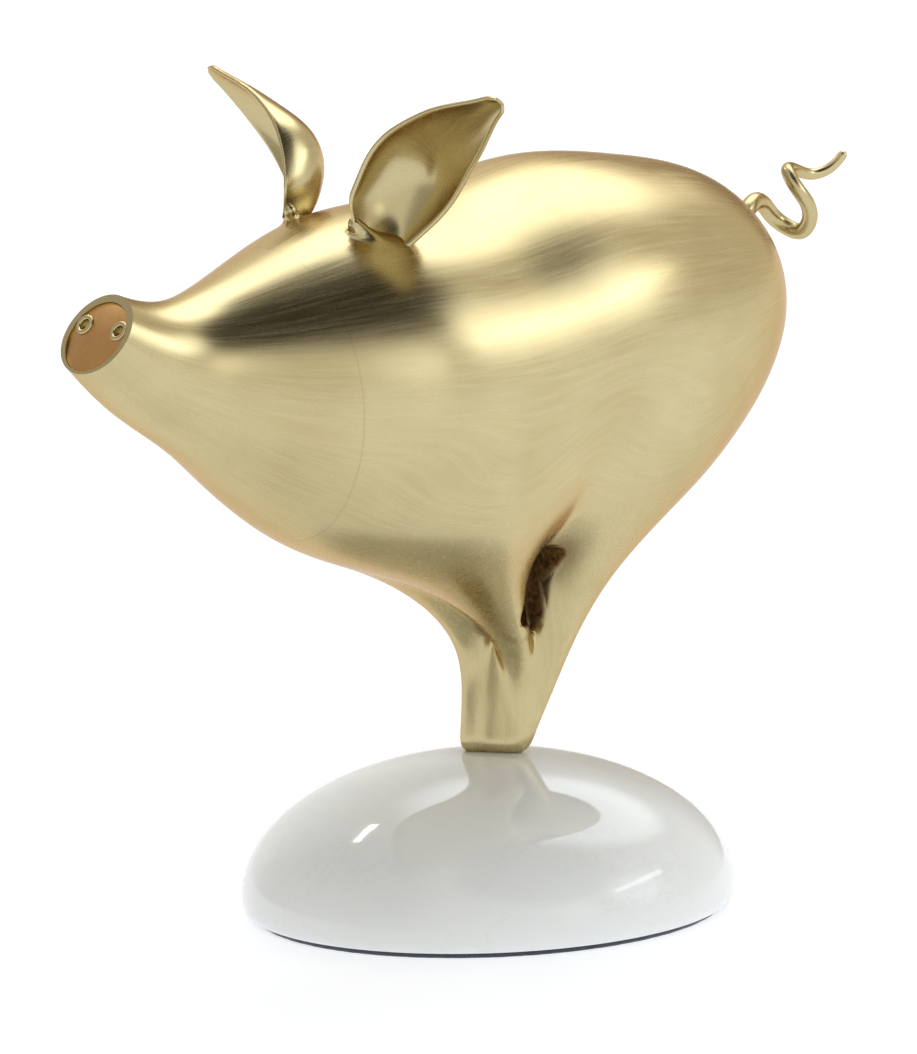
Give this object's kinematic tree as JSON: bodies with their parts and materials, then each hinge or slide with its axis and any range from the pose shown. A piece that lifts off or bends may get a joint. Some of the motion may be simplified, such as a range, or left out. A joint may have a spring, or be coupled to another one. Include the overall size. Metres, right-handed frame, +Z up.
{
  "type": "pig money bank",
  "caption": "Hollow brass pig on a polished marble dome, snout raised and legs drawn together into one foot, with a coin slot and a rubber stopper.",
  "frame": {"origin": "centre of the underside of the felt, on the resting plane", "axes": "+Z up, snout towards -Y, the pig's left side towards +X"},
  "size_m": [0.18, 0.3696, 0.318],
  "materials": {
    "marble": "polished white marble",
    "felt": "thin dark felt",
    "brass": "fine brushed, satin",
    "copper_face": "copper coloured, fine brushed",
    "eyelet_brass": "polished",
    "zinc_steel": "zinc plated",
    "black_rubber": "moulded, matte"
  },
  "bodies": {
    "bank": {"marble_dome": "marble", "felt_pad": "felt", "left_body_shell": "brass", "right_body_shell": "brass", "leg_casting": "brass", "face_casting": "brass", "snout_disc": "copper_face", "left_nostril_eyelet": "eyelet_brass", "right_nostril_eyelet": "eyelet_brass", "left_ear": "brass", "right_ear": "brass", "tail": "brass", "mounting_stud": "zinc_steel", "flat_washer": "zinc_steel", "spring_washer": "zinc_steel", "hex_nut": "zinc_steel"},
    "stopper": {"coin_stopper": "black_rubber"}
  },
  "joints": [
    {"name": "stopper_pull", "type": "slide", "parent": "bank", "child": "stopper", "axis": [0, 0.7071, -0.7071], "range_m": [0, 0.04]}
  ]
}
